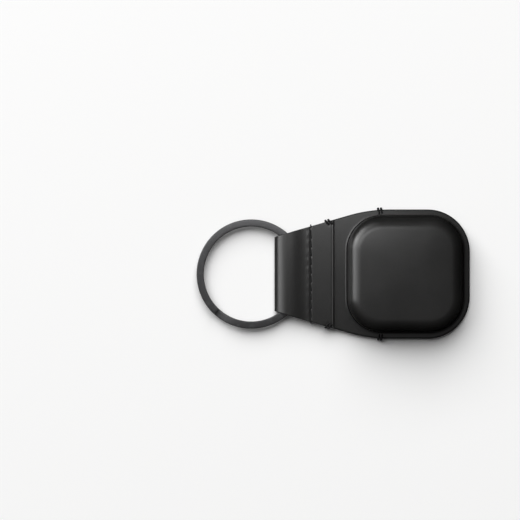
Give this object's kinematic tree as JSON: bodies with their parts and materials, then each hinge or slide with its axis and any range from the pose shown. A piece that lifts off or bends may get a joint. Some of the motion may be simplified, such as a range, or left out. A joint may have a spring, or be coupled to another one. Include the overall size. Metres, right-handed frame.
{
  "type": "tracker tag holder",
  "caption": "Leather holder for a round tracker tag: a moulded square pocket with a fold-open back, and a sewn strap looped round a split key ring.",
  "frame": {"origin": "on the back face, under the middle of the tag pocket", "axes": "+X to the free end of the head, -X to the split ring, +Z out of the moulded front"},
  "size_m": [0.0875, 0.0426, 0.0125],
  "materials": {
    "leather": "satin",
    "cup": "matte",
    "lining": "matte",
    "thread": "matte",
    "filler": "matte",
    "ring": "satin"
  },
  "bodies": {
    "holder": {"front_shell": "leather", "tag_cup": "cup", "cup_lining": "lining", "back_heel": "leather", "heel_lining": "lining", "mouth_tack_upper": "thread", "mouth_tack_lower": "thread"},
    "back_flap": {"back_panel": "leather", "closing_plate": "cup", "plate_lining": "lining"},
    "neck_strap": {"strap": "leather", "strap_tongue": "leather", "strap_core": "filler", "neck_seam": "thread", "tab_tack_upper": "thread", "tab_tack_lower": "thread"},
    "key_ring": {"split_ring": "ring"}
  },
  "joints": [
    {"name": "back_flap_hinge", "type": "hinge", "parent": "holder", "child": "back_flap", "pos_m": [-0.0062, 0, 0], "axis": [0, 1, 0], "range_deg": [0, 75], "stiffness_Nm_per_rad": 0.004, "springref_deg": -5.73},
    {"name": "neck_flex", "type": "hinge", "parent": "holder", "child": "neck_strap", "pos_m": [-0.0209, 0, 0.00115], "axis": [0, 1, 0], "range_deg": [-30, 30], "stiffness_Nm_per_rad": 0.05},
    {"name": "ring_spin", "type": "hinge", "parent": "neck_strap", "child": "key_ring", "pos_m": [-0.04932, 0, 0.00205], "axis": [0, 0, 1], "continuous": true}
  ]
}
